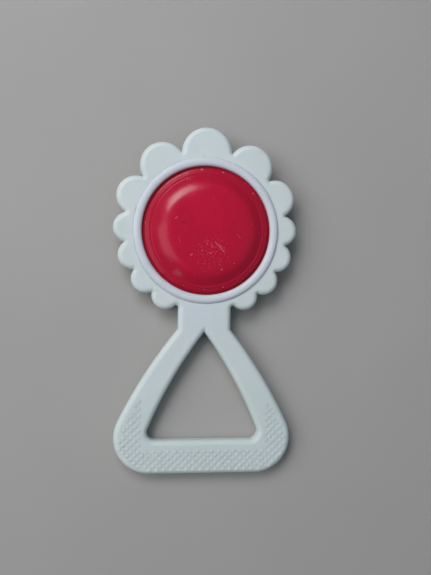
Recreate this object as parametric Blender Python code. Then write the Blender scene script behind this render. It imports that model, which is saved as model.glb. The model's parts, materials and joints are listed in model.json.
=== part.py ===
"""Baby rattle: a flower-shaped head with a red drum in it, on a triangular grip.

The rattle lies flat: X runs across it, +Y points from the grip to the top petal, and +Z is
its front. The origin is the middle of its overall length, width and thickness. The back
is a copy of the front. Everything is in metres.
"""
import math

import bmesh
import bpy

# Head, in polar terms about its own centre. A bearing is measured clockwise from +Y.
HEAD_Y = 0.0297
PETAL_RING = 0.0322
PETALS = [  # bearing in degrees and radius, from the top petal down the right side
    (0.0, 0.01045),
    (34.8, 0.00946),
    (65.2, 0.00811),
    (89.5, 0.00635),
    (109.9, 0.00616),
    (130.0, 0.00617),
    (149.2, 0.00576),
]
NOTCH_RADIUS = 0.00025

# Neck, legs and foot of the triangular grip.
NECK_HALF_WIDTH = 0.01105
NECK_ROUND = 0.0010
SHOULDER_Y = -0.0120
SHOULDER_ROUND = 0.0008
LEG_ARC_RADIUS = 0.203
LEG_END = (0.04453, -0.0724)
FOOT_CORNER_RADIUS = 0.015
BOTTOM_Y = -0.07235

# Triangular hole in the grip.
HOLE_TOP_Y = -0.01305
HOLE_ARC_RADIUS = 0.187
HOLE_END = (0.0249, -0.0583)
HOLE_CORNER_RADIUS = 0.0033
HOLE_BOTTOM_Y = -0.0583

# Thickness of the white frame, which is two halves that meet at Z = 0.
FRAME_HALF = 0.0035
PARTING = 0.00015
EDGE_RADIUS = 0.0022
WALL = 0.0018
ROOF_Z = 0.0020

# Seat for the drum in each half of the frame, a little below the middle of the petals.
DRUM_Y = 0.02925
SEAT_RADIUS = 0.03065
SEAT_FLOOR_Z = 0.0010
WEB_BORE_RADIUS = 0.0260

# White bezel: a half-round bead on a ring that clamps the dome's flange.
BEZEL_OUTER = 0.03035
BEZEL_INNER = 0.0268
BEZEL_FOOT_Z = 0.0013
BEZEL_REBATE_RADIUS = 0.0293
BEZEL_REBATE_Z = 0.0026
BEAD_FOOT_Z = 0.0034
BEAD_HEIGHT = 0.00125

# Red dome: a crown that steepens to its shoulder, a brim, a lip and a hidden flange.
DOME_TOP_Z = 0.0082
DOME_SLOPES = [  # distance from the axis, and how steeply the surface falls there
    (0.0, 0.0),
    (0.012, 0.046),
    (0.014, 0.068),
    (0.016, 0.13),
    (0.018, 0.27),
    (0.020, 0.45),
    (0.0215, 0.56),
    (0.0228, 0.57),
    (0.0230, 0.07),
    (0.0243, 0.07),
]
OUTSIDE_RADII = (0.0, 0.008, 0.012, 0.015, 0.017, 0.0185, 0.020, 0.0215, 0.0229, 0.0239)
INSIDE_RADII = (0.0, 0.010, 0.015, 0.018, 0.020)
LIP_INNER = (0.0240, 0.0045)
LIP_OUTER = (0.0256, 0.0040)
FLANGE_RADIUS = 0.0290
FLANGE_TOP_Z = 0.0023
FLANGE_FOOT_Z = 0.0013
DOME_WALL = 0.0016
DOME_INNER_RADIUS = 0.0246
DOME_INNER_CORNER = (0.0220, 0.0035)

# Pellets that roll inside the drum.
PELLET_COUNT = 8
PELLET_RADIUS = 0.00225
PELLET_SPREAD = 0.0150
CLEARANCE = 0.0003
GOLDEN_ANGLE = math.pi * (3.0 - math.sqrt(5.0))

# Pins on the back half that locate the front half, at (x, y) and its mirror image.
PIN_RADIUS = 0.0010
PIN_REACH_Z = 0.0016
SOCKET_RADIUS = 0.0013
SOCKET_DEPTH_Z = 0.0021
PIN_PETALS = (0, 2, 5)
PIN_RING = 0.0345
FOOT_PIN = (0.0287, -0.0645)
NECK_PIN = (0.0, -0.0085)

# Pockets that lighten the legs and the bar.
LEG_POCKET_TOP_Y = -0.0200
LEG_POCKET_BOTTOM_Y = -0.0540
BAR_POCKET_HALF_LENGTH = 0.0230

# Fineness of the faceted solids.
EDGE_STEPS = 3
PETAL_STEPS = 8
ROUND_STEPS = 2
LEG_STEPS = 6
FOOT_STEPS = 6
HOLE_STEPS = 7
HOLE_CORNER_STEPS = 4
TURN_STEPS = 56
PIN_STEPS = 10
POCKET_STEPS = 5
BEAD_STEPS = 8
SAME_POINT = 1e-7

WHITE = (0.735, 0.790, 0.790, 1.0)
BEZEL_WHITE = (0.760, 0.780, 0.815, 1.0)
RED = (0.400, 0.012, 0.034, 1.0)
YELLOW = (0.800, 0.560, 0.080, 1.0)
PLASTIC_ROUGHNESS = 0.42
DOME_ROUGHNESS = 0.30


def clear_scene():
    for item in list(bpy.data.objects):
        bpy.data.objects.remove(item, do_unlink=True)


def plastic(name, colour, roughness):
    """A plain plastic: one Principled shader with the piece's colour."""
    material = bpy.data.materials.new(name)
    material.use_nodes = True
    shader = material.node_tree.nodes["Principled BSDF"]
    shader.inputs["Base Color"].default_value = colour
    shader.inputs["Roughness"].default_value = roughness
    shader.inputs["Metallic"].default_value = 0.0
    material.diffuse_color = colour
    return material


def add_object(name, shape, material):
    """Turn a finished bmesh into a named object with its normals facing out."""
    bmesh.ops.recalc_face_normals(shape, faces=shape.faces[:])
    mesh = bpy.data.meshes.new(name)
    shape.to_mesh(mesh)
    shape.free()
    mesh.shade_smooth()
    mesh.set_sharp_from_angle(angle=math.radians(35.0))
    mesh.materials.append(material)
    piece = bpy.data.objects.new(name, mesh)
    bpy.context.scene.collection.objects.link(piece)
    return piece


# ---- Outlines ------------------------------------------------------------------------


def at_bearing(centre, radius, bearing):
    """A point at a clockwise bearing from +Y."""
    return (centre[0] + radius * math.sin(bearing), centre[1] + radius * math.cos(bearing))


def angle_to(start, end):
    """Direction from one point to another, counter-clockwise from +X."""
    return math.atan2(end[1] - start[1], end[0] - start[0])


def arc_centre(start, end, radius):
    """Centre of the arc of a given radius that bulges to +X between two points."""
    half_x = (end[0] - start[0]) / 2
    half_y = (end[1] - start[1]) / 2
    half_chord = math.hypot(half_x, half_y)
    depth = math.sqrt(radius**2 - half_chord**2)
    middle = (start[0] + half_x, start[1] + half_y)
    return (middle[0] + depth * half_y / half_chord, middle[1] - depth * half_x / half_chord)


HEAD = (0.0, HEAD_Y)
DRUM = (0.0, DRUM_Y)
LEG_CENTRE = arc_centre((NECK_HALF_WIDTH, SHOULDER_Y), LEG_END, LEG_ARC_RADIUS)
HOLE_CENTRE = arc_centre((0.0, HOLE_TOP_Y), HOLE_END, HOLE_ARC_RADIUS)


def petal_centre(index):
    return at_bearing(HEAD, PETAL_RING, math.radians(PETALS[index][0]))


def notch_centre(index):
    """Centre of the small round that touches a petal and the next one down from outside."""
    first = petal_centre(index)
    second = petal_centre(index + 1)
    first_reach = PETALS[index][1] + NOTCH_RADIUS
    second_reach = PETALS[index + 1][1] + NOTCH_RADIUS
    gap = math.dist(first, second)
    along = (gap**2 + first_reach**2 - second_reach**2) / (2 * gap)
    angle = angle_to(first, second) + math.acos(along / first_reach)
    return (first[0] + first_reach * math.cos(angle), first[1] + first_reach * math.sin(angle))


def neck_round_centre():
    """Centre of the hollow round that touches the last petal and the side of the neck."""
    x = NECK_HALF_WIDTH + NECK_ROUND
    last_x, last_y = petal_centre(-1)
    reach = PETALS[-1][1] + NECK_ROUND
    return (x, last_y - math.sqrt(reach**2 - (last_x - x) ** 2))


def shoulder_centre():
    """Centre of the hollow round that touches the side of the neck and the leg."""
    x = NECK_HALF_WIDTH + SHOULDER_ROUND
    reach = LEG_ARC_RADIUS + SHOULDER_ROUND
    return (x, LEG_CENTRE[1] + math.sqrt(reach**2 - (x - LEG_CENTRE[0]) ** 2))


def corner_centre(centre, arc_radius, corner_radius, bottom_y):
    """Centre of the round between an arc that bulges to +X and a level line below it."""
    y = bottom_y + corner_radius
    reach = arc_radius - corner_radius
    return (centre[0] + math.sqrt(reach**2 - (y - centre[1]) ** 2), y)


def bulge(centre, radius, start, end, steps):
    """An arc of the outline that bulges outwards, run clockwise."""
    return (centre, radius, start, start - (start - end) % (2 * math.pi), -1, steps)


def hollow(centre, radius, start, end, steps):
    """An arc of the outline that curves inwards, run counter-clockwise."""
    return (centre, radius, start, start + (end - start) % (2 * math.pi), 1, steps)


def head_arcs():
    """The right-hand petals and the notches between them, down to the neck."""
    arcs = []
    last = len(PETALS) - 1
    start = math.pi / 2
    for index in range(last + 1):
        centre = petal_centre(index)
        is_last = index == last
        gap_centre = neck_round_centre() if is_last else notch_centre(index)
        gap_radius = NECK_ROUND if is_last else NOTCH_RADIUS
        steps = PETAL_STEPS // 2 if index == 0 else PETAL_STEPS
        arcs.append(bulge(centre, PETALS[index][1], start, angle_to(centre, gap_centre), steps))
        if is_last:
            end = math.pi
        else:
            end = angle_to(gap_centre, petal_centre(index + 1))
            start = end + math.pi
        arcs.append(hollow(gap_centre, gap_radius, angle_to(gap_centre, centre), end, ROUND_STEPS))
    return arcs


def grip_arcs():
    """The shoulder, the leg and the foot's corner on the right."""
    shoulder = shoulder_centre()
    corner = corner_centre(LEG_CENTRE, LEG_ARC_RADIUS, FOOT_CORNER_RADIUS, BOTTOM_Y)
    leg_start = angle_to(LEG_CENTRE, shoulder)
    leg_end = angle_to(LEG_CENTRE, corner)
    return [
        hollow(shoulder, SHOULDER_ROUND, math.pi, leg_start + math.pi, ROUND_STEPS),
        bulge(LEG_CENTRE, LEG_ARC_RADIUS, leg_start, leg_end, LEG_STEPS),
        bulge(corner, FOOT_CORNER_RADIUS, leg_end, -math.pi / 2, FOOT_STEPS),
    ]


def hole_arcs(outset):
    """The hole's leg side and lower corner on the right, from its apex."""
    corner = corner_centre(HOLE_CENTRE, HOLE_ARC_RADIUS, HOLE_CORNER_RADIUS, HOLE_BOTTOM_Y)
    apex = math.acos(-HOLE_CENTRE[0] / (HOLE_ARC_RADIUS + outset))
    leg_end = angle_to(HOLE_CENTRE, corner)
    return [
        bulge(HOLE_CENTRE, HOLE_ARC_RADIUS, apex, leg_end, HOLE_STEPS),
        bulge(corner, HOLE_CORNER_RADIUS, leg_end, -math.pi / 2, HOLE_CORNER_STEPS),
    ]


def arc_points(arcs, inset):
    """Points along touching arcs that are moved inwards by inset, each join once."""
    points = []
    for centre, radius, start, end, side, steps in arcs:
        reach = radius + side * inset
        for k in range(steps + 1):
            angle = start + (end - start) * k / steps
            point = (centre[0] + reach * math.cos(angle), centre[1] + reach * math.sin(angle))
            if not points or math.dist(points[-1], point) > SAME_POINT:
                points.append(point)
    return points


def outer_outline(inset):
    """The frame's outer edge moved inwards by inset, clockwise from the top."""
    right = arc_points(head_arcs() + grip_arcs(), inset)
    return mirrored(right + [(0.0, BOTTOM_Y + inset)])


def hole_outline(outset):
    """The triangular hole's edge moved outwards by outset, clockwise from its apex."""
    right = arc_points(hole_arcs(outset), -outset)
    return mirrored(right + [(0.0, HOLE_BOTTOM_Y - outset)])


def mirrored(right):
    """A closed outline from its right half, whose first and last points are on X = 0."""
    right[0] = (0.0, right[0][1])
    left = [(-x, y) for x, y in reversed(right[1:-1])]
    return right + left


def circle(centre, radius, steps):
    return [at_bearing(centre, radius, 2 * math.pi * k / steps) for k in range(steps)]


def arc_x(centre, radius, y):
    """Where an arc that bulges to +X passes a height y."""
    return centre[0] + math.sqrt(radius**2 - (y - centre[1]) ** 2)


def leg_pocket(side):
    """Outline of the pocket in one leg, a wall's thickness inside both its edges."""
    span = LEG_POCKET_BOTTOM_Y - LEG_POCKET_TOP_Y
    heights = [LEG_POCKET_TOP_Y + span * k / POCKET_STEPS for k in range(POCKET_STEPS + 1)]
    outside = [(side * arc_x(LEG_CENTRE, LEG_ARC_RADIUS - WALL, y), y) for y in heights]
    inside = [(side * arc_x(HOLE_CENTRE, HOLE_ARC_RADIUS + WALL, y), y) for y in heights]
    return outside + inside[::-1]


def bar_pocket():
    top = HOLE_BOTTOM_Y - WALL
    bottom = BOTTOM_Y + WALL
    half = BAR_POCKET_HALF_LENGTH
    return [(-half, top), (half, top), (half, bottom), (-half, bottom)]


def pin_places():
    """Where the halves are pinned together."""
    places = [NECK_PIN]
    for side in (1, -1):
        places.append((side * FOOT_PIN[0], FOOT_PIN[1]))
        for index in PIN_PETALS:
            x, y = at_bearing(HEAD, PIN_RING, math.radians(PETALS[index][0]))
            if x > 0 or side > 0:
                places.append((side * x, y))
    return places


# ---- Solids --------------------------------------------------------------------------


def ring(shape, outline, z):
    return [shape.verts.new((x, y, z)) for x, y in outline]


def edges_of(shape, loop):
    """The edges along a closed loop of vertices, made where they are missing."""
    edges = []
    for a, b in zip(loop, loop[1:] + loop[:1]):
        edges.append(shape.edges.get((a, b)) or shape.edges.new((a, b)))
    return edges


def loft(shape, loops):
    """Walls between successive loops that have the same number of points."""
    for lower, upper in zip(loops, loops[1:]):
        for k in range(len(lower)):
            after = (k + 1) % len(lower)
            shape.faces.new((lower[k], lower[after], upper[after], upper[k]))


def cap(shape, loops):
    """A flat face that fills the first loop and leaves out the others."""
    edges = []
    for loop in loops:
        edges += edges_of(shape, loop)
    bmesh.ops.triangle_fill(shape, edges=edges, use_beauty=True)


def well(shape, outline, mouth_z, floor_z):
    """A blind recess, or a pin, from a flat face. Returns the loop in that face."""
    mouth = ring(shape, outline, mouth_z)
    floor = ring(shape, outline, floor_z)
    loft(shape, [mouth, floor])
    shape.faces.new(floor)
    return mouth


def rounded_edge(shape, outline_at, side):
    """Loops up a wall from the parting plane and over its rounded edge."""
    loops = [ring(shape, outline_at(0.0), side * PARTING)]
    for k in range(EDGE_STEPS + 1):
        angle = math.pi / 2 * k / EDGE_STEPS
        inset = EDGE_RADIUS * (1 - math.cos(angle))
        z = FRAME_HALF - EDGE_RADIUS + EDGE_RADIUS * math.sin(angle)
        loops.append(ring(shape, outline_at(inset), side * z))
    loft(shape, loops)
    return loops


def frame_half(name, side, material):
    """One half of the white frame, with the drum's seat, the pockets, and pins or sockets."""
    shape = bmesh.new()
    outer = rounded_edge(shape, outer_outline, side)
    hole = rounded_edge(shape, hole_outline, side)

    seat_top = ring(shape, circle(DRUM, SEAT_RADIUS, TURN_STEPS), side * FRAME_HALF)
    seat_floor = ring(shape, circle(DRUM, SEAT_RADIUS, TURN_STEPS), side * SEAT_FLOOR_Z)
    web_top = ring(shape, circle(DRUM, WEB_BORE_RADIUS, TURN_STEPS), side * SEAT_FLOOR_Z)
    web_foot = ring(shape, circle(DRUM, WEB_BORE_RADIUS, TURN_STEPS), side * PARTING)
    loft(shape, [seat_top, seat_floor, web_top, web_foot])

    recesses = []
    for outline in (leg_pocket(1), leg_pocket(-1), bar_pocket()):
        recesses.append(well(shape, outline, side * PARTING, side * ROOF_Z))
    radius = SOCKET_RADIUS if side > 0 else PIN_RADIUS
    reach = SOCKET_DEPTH_Z if side > 0 else PIN_REACH_Z
    for place in pin_places():
        outline = circle(place, radius, PIN_STEPS)
        recesses.append(well(shape, outline, side * PARTING, reach))

    cap(shape, [outer[-1], seat_top, hole[-1]])
    cap(shape, [outer[0], web_foot, hole[0]] + recesses)
    return add_object(name, shape, material)


def revolve(name, profile, side, material):
    """A closed profile of (radius, z) points turned about the drum's axis."""
    shape = bmesh.new()
    verts = [shape.verts.new((radius, DRUM_Y, side * z)) for radius, z in profile]
    edges = edges_of(shape, verts)
    bmesh.ops.spin(
        shape,
        geom=verts + edges,
        cent=(0.0, DRUM_Y, 0.0),
        axis=(0.0, 0.0, 1.0),
        angle=2 * math.pi,
        steps=TURN_STEPS,
        use_merge=True,
    )
    bmesh.ops.remove_doubles(shape, verts=shape.verts[:], dist=1e-6)
    return add_object(name, shape, material)


def bezel_profile():
    middle = (BEZEL_OUTER + BEZEL_INNER) / 2
    half = (BEZEL_OUTER - BEZEL_INNER) / 2
    profile = [
        (BEZEL_INNER, BEZEL_REBATE_Z),
        (BEZEL_REBATE_RADIUS, BEZEL_REBATE_Z),
        (BEZEL_REBATE_RADIUS, BEZEL_FOOT_Z),
        (BEZEL_OUTER, BEZEL_FOOT_Z),
    ]
    for k in range(BEAD_STEPS + 1):
        angle = math.pi * k / BEAD_STEPS
        z = BEAD_FOOT_Z + BEAD_HEIGHT * math.sin(angle)
        profile.append((middle + half * math.cos(angle), z))
    return profile


def dome_surface(radius):
    """Height of the dome's outer surface at a distance from its axis."""
    height = DOME_TOP_Z
    for (near, near_slope), (far, far_slope) in zip(DOME_SLOPES, DOME_SLOPES[1:]):
        if radius <= near:
            break
        width = min(radius, far) - near
        last_slope = near_slope + (far_slope - near_slope) * width / (far - near)
        height -= width * (near_slope + last_slope) / 2
    return height


def dome_profile():
    outside = [(radius, dome_surface(radius)) for radius in OUTSIDE_RADII]
    rim = [
        LIP_INNER,
        LIP_OUTER,
        (LIP_OUTER[0], FLANGE_TOP_Z),
        (FLANGE_RADIUS, FLANGE_TOP_Z),
        (FLANGE_RADIUS, FLANGE_FOOT_Z),
        (DOME_INNER_RADIUS, FLANGE_FOOT_Z),
        DOME_INNER_CORNER,
    ]
    inside = [(radius, dome_surface(radius) - DOME_WALL) for radius in INSIDE_RADII[::-1]]
    return outside + rim + inside


def pellet(index, material):
    """A pellet lying on the back dome, which slides straight up to the front dome."""
    distance = PELLET_SPREAD * math.sqrt((index + 0.5) / PELLET_COUNT)
    x, y = at_bearing(DRUM, distance, GOLDEN_ANGLE * index)
    z = PELLET_RADIUS + CLEARANCE - (dome_surface(distance) - DOME_WALL)
    shape = bmesh.new()
    bmesh.ops.create_uvsphere(shape, u_segments=12, v_segments=8, radius=PELLET_RADIUS)
    piece = add_object(f"pellet_{index + 1}", shape, material)
    piece.location = (x, y, z)


def main():
    clear_scene()
    white = plastic("white_plastic", WHITE, PLASTIC_ROUGHNESS)
    bezel_white = plastic("bezel_plastic", BEZEL_WHITE, PLASTIC_ROUGHNESS)
    red = plastic("red_plastic", RED, DOME_ROUGHNESS)
    yellow = plastic("pellet_plastic", YELLOW, PLASTIC_ROUGHNESS)
    for name, side in (("front", 1), ("back", -1)):
        frame_half(f"{name}_frame", side, white)
        revolve(f"{name}_bezel", bezel_profile(), side, bezel_white)
        revolve(f"{name}_dome", dome_profile(), side, red)
    for index in range(PELLET_COUNT):
        pellet(index, yellow)


main()
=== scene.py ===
import json
import math

import bmesh
import bpy
from mathutils import Euler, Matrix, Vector


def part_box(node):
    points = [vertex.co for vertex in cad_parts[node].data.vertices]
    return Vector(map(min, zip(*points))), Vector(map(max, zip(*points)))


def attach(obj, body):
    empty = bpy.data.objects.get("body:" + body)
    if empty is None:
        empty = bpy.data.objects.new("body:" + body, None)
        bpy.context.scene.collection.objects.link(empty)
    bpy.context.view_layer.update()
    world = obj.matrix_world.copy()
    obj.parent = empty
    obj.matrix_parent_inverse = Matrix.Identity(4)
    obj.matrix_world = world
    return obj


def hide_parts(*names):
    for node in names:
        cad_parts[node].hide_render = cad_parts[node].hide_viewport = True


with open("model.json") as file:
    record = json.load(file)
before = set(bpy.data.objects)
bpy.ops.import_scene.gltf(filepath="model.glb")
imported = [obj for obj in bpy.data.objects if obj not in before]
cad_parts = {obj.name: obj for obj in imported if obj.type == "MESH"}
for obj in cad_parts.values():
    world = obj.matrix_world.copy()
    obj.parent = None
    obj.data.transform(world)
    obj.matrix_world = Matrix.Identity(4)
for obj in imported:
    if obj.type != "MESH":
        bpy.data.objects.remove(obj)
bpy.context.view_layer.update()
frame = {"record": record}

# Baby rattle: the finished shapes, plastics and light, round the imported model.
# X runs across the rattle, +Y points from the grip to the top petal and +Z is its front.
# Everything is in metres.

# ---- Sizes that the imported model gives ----

FRONT_LOW, FRONT_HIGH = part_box("front_frame")
BEZEL_LOW, BEZEL_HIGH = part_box("front_bezel")
DOME_LOW, DOME_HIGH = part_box("front_dome")
PELLET_LOW, PELLET_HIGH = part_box("pellet_1")
DRUM_Y = (BEZEL_LOW.y + BEZEL_HIGH.y) / 2
DRUM = (0.0, DRUM_Y)
FACE_Z = FRONT_HIGH.z
BOTTOM_Y = FRONT_LOW.y
BEZEL_OUTER = (BEZEL_HIGH.x - BEZEL_LOW.x) / 2
BEAD_TOP_Z = BEZEL_HIGH.z
DOME_TOP_Z = DOME_HIGH.z
FLANGE_RADIUS = (DOME_HIGH.x - DOME_LOW.x) / 2
PELLET_RADIUS = (PELLET_HIGH.z - PELLET_LOW.z) / 2

# ---- The moulding's outline ----

PETAL_RING = 0.0322
PETALS = [  # clockwise bearing from +Y in degrees, and radius, down the right side
    (0.0, 0.01045),
    (34.8, 0.00946),
    (65.2, 0.00811),
    (89.5, 0.00635),
    (109.9, 0.00616),
    (130.0, 0.00617),
    (149.2, 0.00576),
]
HEAD_Y = FRONT_HIGH.y - PETAL_RING - PETALS[0][1]
HEAD = (0.0, HEAD_Y)
NOTCH_RADIUS = 0.00025
NECK_HALF_WIDTH = 0.01105
NECK_ROUND = 0.0010
SHOULDER_Y = -0.0120
SHOULDER_ROUND = 0.0008
LEG_ARC_RADIUS = 0.203
LEG_END = (0.04453, -0.0724)
FOOT_CORNER_RADIUS = 0.015
HOLE_TOP_Y = -0.01305
HOLE_BOTTOM_Y = -0.0583
HOLE_ARC_RADIUS = 0.187
HOLE_END = (0.0249, HOLE_BOTTOM_Y)
HOLE_CORNER_RADIUS = 0.0033

# ---- The moulding's section ----

SEAM_GAP = 0.00005
SEAM_ROUND = 0.00012
EDGE_RADIUS = 0.0022
LEVEL_MARGIN = 0.00004
WALL = 0.0018
ROOF_Z = 0.0020
SEAT_CLEARANCE = 0.00005
SEAT_RADIUS = BEZEL_OUTER + SEAT_CLEARANCE
SEAT_ROUND = 0.00016
SEAT_FLOOR_Z = 0.0010
WEB_BORE_RADIUS = 0.0260
PIN_RADIUS = 0.0010
PIN_REACH_Z = 0.0016
SOCKET_RADIUS = 0.0013
SOCKET_DEPTH_Z = 0.0021
PIN_PETALS = (0, 2, 5)
PIN_RING = 0.0345
FOOT_PIN = (0.0287, -0.0645)
NECK_PIN = (0.0, -0.0085)
LEG_POCKET_TOP_Y = -0.0200
LEG_POCKET_BOTTOM_Y = -0.0540
BAR_POCKET_HALF_LENGTH = 0.0230

# ---- Bezel, dome and pellets ----

BEZEL_INNER = 0.0268
BEZEL_FOOT_Z = 0.0013
BEZEL_REBATE_RADIUS = 0.0293
BEZEL_REBATE_Z = 0.0026
BEAD_FOOT_Z = 0.0034
BEAD_OUTER_RISE = 0.00020
BEAD_OUTER_Z = FACE_Z + BEAD_OUTER_RISE
BEAD_FALL = 2.6
DOME_SLOPES = [  # distance from the axis, and how steeply the surface falls there
    (0.0, 0.0),
    (0.012, 0.046),
    (0.014, 0.068),
    (0.016, 0.13),
    (0.018, 0.27),
    (0.020, 0.45),
    (0.0215, 0.56),
    (0.0228, 0.57),
    (0.0230, 0.07),
    (0.0243, 0.07),
]
BRIM_CORNER = (0.0227, 0.0231)
BRIM_RADIUS = 0.0239
DOME_RIM = [  # distance from the axis, and depth below the brim
    (0.0240, 0.00035),
    (0.0248, 0.00044),
    (0.0249, 0.00075),
    (0.0255, 0.00083),
    (0.0256, 0.00160),
]
FLANGE_TOP_Z = 0.0023
FLANGE_FOOT_Z = 0.0013
DOME_WALL = 0.0016
DOME_INNER_RADIUS = 0.0246
DOME_INNER_CORNER = (0.0220, 0.0035)
DOME_INSIDE_EDGE = 0.0200
RIM_ROUND = 0.00008
CORNER_SHARE = 0.45  # the most of a short side that one rounded corner takes
SEAM_RIDGE = 0.00006

# ---- Wear and a dark streak on the front dome, measured from its middle ----

SCRATCHES = [  # start, end, half width, strength
    ((0.0031, -0.0048), (0.0071, -0.0091), 0.00003, 0.60),
    ((0.0044, -0.0056), (0.0077, -0.0082), 0.00002, 0.22),
    ((-0.0070, -0.0105), (-0.0060, -0.0100), 0.00003, 0.50),
    ((-0.0067, -0.0107), (-0.0063, -0.0098), 0.00003, 0.40),
    ((0.0014, -0.0096), (0.0016, -0.0094), 0.00010, 0.55),
    ((0.0060, -0.0162), (0.0062, -0.0160), 0.00012, 0.75),
    ((0.0113, -0.0135), (0.0114, -0.0134), 0.00008, 0.50),
    ((-0.0134, 0.0042), (-0.0125, 0.0050), 0.00004, 0.55),
    ((-0.0147, -0.0131), (-0.0146, -0.0130), 0.00008, 0.40),
    ((-0.0086, 0.0203), (-0.0083, 0.0211), 0.00005, 0.25),
    ((-0.0073, 0.0203), (-0.0075, 0.0211), 0.00005, 0.25),
    ((0.0020, 0.0128), (0.0027, 0.0121), 0.00003, 0.18),
    ((0.0121, -0.0016), (0.0138, -0.0030), 0.00003, 0.18),
    ((-0.0120, -0.0030), (-0.0112, -0.0055), 0.00003, 0.16),
    ((-0.0026, 0.0252), (-0.0021, 0.0252), 0.00012, 0.65),
    ((0.0063, 0.0243), (0.0067, 0.0242), 0.00012, 0.60),
    ((0.0191, 0.0161), (0.0194, 0.0157), 0.00012, 0.55),
]
SCRATCH_EDGE = 0.00009
WORN_SPOT = (0.0015, -0.0100)
WORN_REACH = (0.0035, 0.0060)  # full strength within the first, gone past both together
# A dark streak on the front dome: its ends, reach and share.
DARK_STREAK = ((-0.0108, 0.0028), (-0.0096, 0.0028))
DARK_STREAK_REACH = (0.0002, 0.0006)
DARK_STREAK_SHARE = 0.35

# ---- Grip bumps ----

BUMP_FIRST_ROW_Y = -0.0703
BUMP_HEIGHT = 0.00014
BUMP_PINCH = -0.7  # how far a round bump's sides are drawn in towards a diamond
BUMP_CROWN = 1.7  # above 1, the bump's foot spreads out softly
BUMP_SEGMENTS = 8
BUMP_RINGS = 6
BUMP_INPUTS = {  # the kind of each named input, and its value
    "Column Pitch": ("Float", 0.00306),
    "Row Pitch": ("Float", 0.00149),
    "Columns": ("Int", 27),
    "Rows": ("Int", 21),
    "First Row": ("Float", BUMP_FIRST_ROW_Y),
    "Face Height": ("Float", FACE_Z),
    "Bump Radius": ("Float", 0.00104),
    "Bump Height": ("Float", BUMP_HEIGHT),
    "Root Depth": ("Float", 0.0006),
    "Fade Start": ("Float", -0.0520),
    "Fade End": ("Float", -0.0420),
    "Faded Height": ("Float", 0.35),
    "Unevenness": ("Float", 0.10),
    "Seed": ("Int", 7),
}
PATCH_BOTTOM_INSET = 0.00195
PATCH_LEG_INSET = 0.0028
PATCH_CORNER_RADIUS = 0.012
PATCH_TOP_Y = -0.0418
PATCH_BAR_INSET = 0.0038
PATCH_BAR_TOP_Y = HOLE_BOTTOM_Y - PATCH_BAR_INSET
PATCH_LEG_INNER_X = 0.0258

# ---- Fineness ----

EDGE_STEPS = 9
PETAL_STEPS = 30
ROUND_STEPS = 8
LEG_STEPS = 40
FOOT_STEPS = 28
HOLE_STEPS = 40
HOLE_CORNER_STEPS = 14
TURN_STEPS = 192
PIN_STEPS = 24
POCKET_STEPS = 10
CORNER_STEPS = 5
OUTSIDE_STEPS = 60
INSIDE_STEPS = 24
BEAD_STEPS = 24
PELLET_STEPS = 40
PELLET_PROFILE_STEPS = 20
SAME_POINT = 1e-7
POLE_MERGE = 1e-6
NEAR_ZERO = 0.001
PROBE_LIFT = 0.001
PROBE_LENGTH = 0.01
SHARP_ANGLE = math.radians(40.0)

# ---- Plastics: patterns are (patches to the metre, detail), shares are 0 to 1 ----

MIDDLE = (0.35, 0.65)
WIDE_MIDDLE = (0.3, 0.7)

MOULDING_BASE = (0.700, 0.775, 0.790, 1.0)
MOULDING_SHADE = (0.660, 0.745, 0.750, 1.0)
# Grey for dust specks, and for dirt and painted shade in the groove round the bezel.
MOULDING_DIRT_AND_SHADE = (0.30, 0.30, 0.29, 1.0)
BEZEL_BASE = (0.688, 0.738, 0.800, 1.0)
BEZEL_SHADE = (0.664, 0.704, 0.772, 1.0)
# Grey for the bezel's dust specks, and for dirt and painted shade in its groove.
BEZEL_DIRT_AND_SHADE = (0.28, 0.26, 0.28, 1.0)
WHITE_MOTTLE = (55.0, 3.0)
# Painted shade: the moulding turns darker and a little greener down the grip, where the light
# falls off.
GRIP_PAINTED_SHADE = (0.648, 0.748, 0.745, 1.0)
GRIP_PAINTED_SHADE_FROM_TO = (-0.050, -0.018)
GRIP_PAINTED_SHADE_SHARE = 0.7
# Painted reflection and shade: a bluish, darker band down the middle of the neck.
NECK_PAINTED_REFLECTION = (0.670, 0.735, 0.800, 1.0)
NECK_PAINTED_REFLECTION_LINE = ((0.0, -0.0040), (0.0, -0.0100))
NECK_PAINTED_REFLECTION_REACH = (0.003, 0.011)
NECK_PAINTED_REFLECTION_SHARE = 0.7
WHITE_DUST = (2600.0, 1.0)
WHITE_DUST_RANGE = (0.73, 0.80, 0.0, 0.5)
# Dirt and painted shade, in patches, along the groove between the bezel and the moulding.
GROOVE_INNER = (SEAT_RADIUS - 0.0006, SEAT_RADIUS - 0.0001)
GROOVE_OUTER = (SEAT_RADIUS + 0.0001, SEAT_RADIUS + 0.0009)
GROOVE_DIRT_AND_SHADE = (320.0, 3.0)
GROOVE_DIRT_AND_SHADE_RANGE = (0.50, 0.80, 0.0, 0.25)
WHITE_SHEEN = (140.0, 4.0)
WHITE_ROUGHNESS = (0.34, 0.46)
HAIRLINES = ((0.5, 70.0), (-0.9, 90.0))  # turn in radians, and lines to the metre
HAIRLINE_DETAIL = 2.0
HAIRLINE_STRETCH = (1.0, 22.0, 1.0)
HAIRLINE_RANGE = (0.64, 0.70)
HAIRLINE_HEIGHT = -0.000004
WHITE_SKIN = (4200.0, 2.0)
WHITE_SKIN_HEIGHT = 0.000004
WHITE_WAVES = (160.0, 1.0)
WHITE_WAVES_HEIGHT = 0.00006
TRANSLUCENCY = 0.35
LIGHT_TRAVEL = (1.0, 1.0, 1.0)
LIGHT_DEPTH = 0.0008

RED_BASE = (0.555, 0.0062, 0.043, 1.0)
RED_SHADE = (0.515, 0.0058, 0.039, 1.0)
# Painted shade: the dome's red is darker from its shoulder outwards.
RED_SHOULDER_PAINTED_SHADE = (0.430, 0.0045, 0.032, 1.0)
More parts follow.
